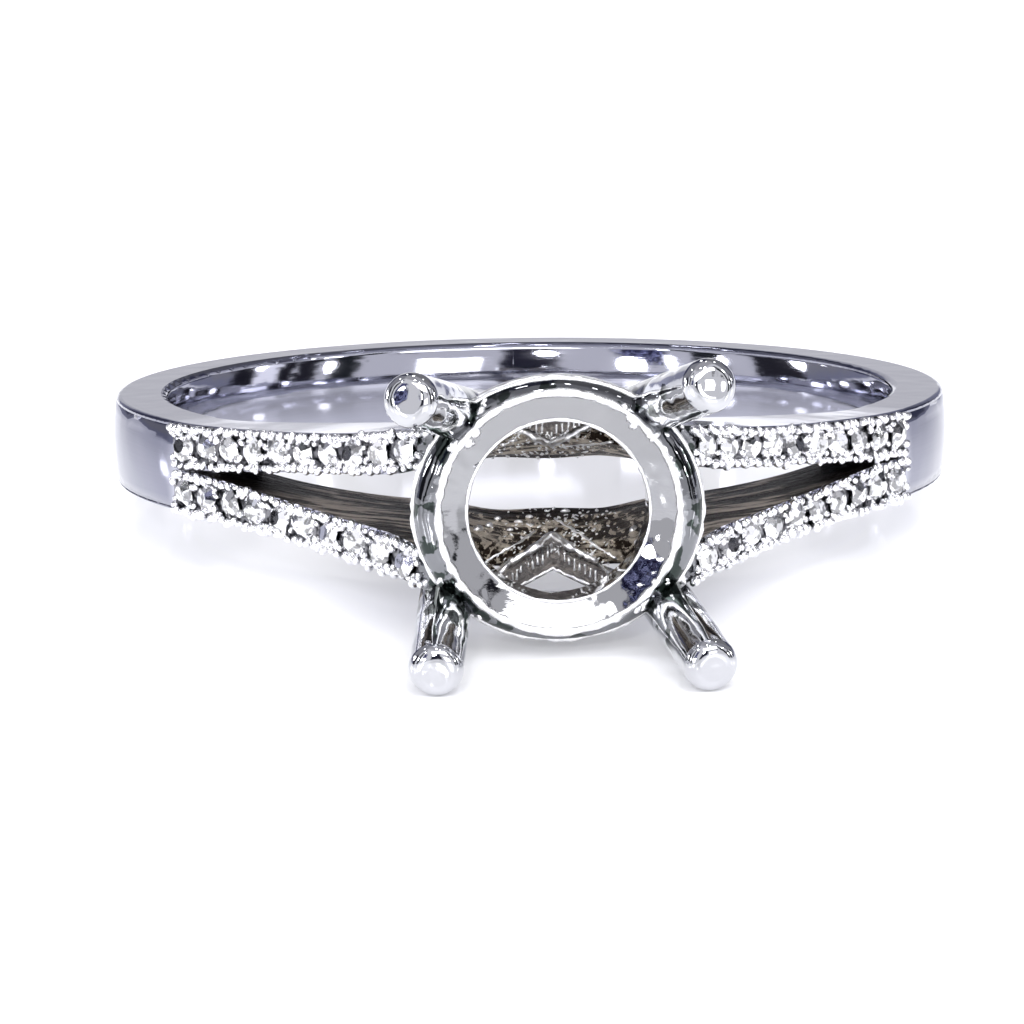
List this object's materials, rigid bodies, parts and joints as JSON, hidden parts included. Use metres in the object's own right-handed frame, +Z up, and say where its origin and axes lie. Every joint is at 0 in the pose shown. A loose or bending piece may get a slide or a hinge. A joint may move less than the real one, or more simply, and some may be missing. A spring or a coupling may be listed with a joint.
{
  "type": "split shank ring",
  "caption": "Split shank ring in white metal: plain polished band, arms set with rows of small round stones, and a round open head with long uncut prongs for a centre stone.",
  "frame": {"origin": "middle of the ring's box, on the surface that the ring lies on", "axes": "+X from side to side across the finger hole, -Y towards the head, +Z up from the surface"},
  "size_m": [0.0198, 0.0258, 0.0069],
  "materials": {
    "white_metal": "polished, rough as cast inside the gap",
    "pave_stones": "faceted and polished, held by metal beads"
  },
  "bodies": {
    "root": {"ring_mount": "white_metal", "pave_upper_left": "pave_stones", "pave_upper_right": "pave_stones", "pave_lower_left": "pave_stones", "pave_lower_right": "pave_stones"}
  },
  "joints": []
}
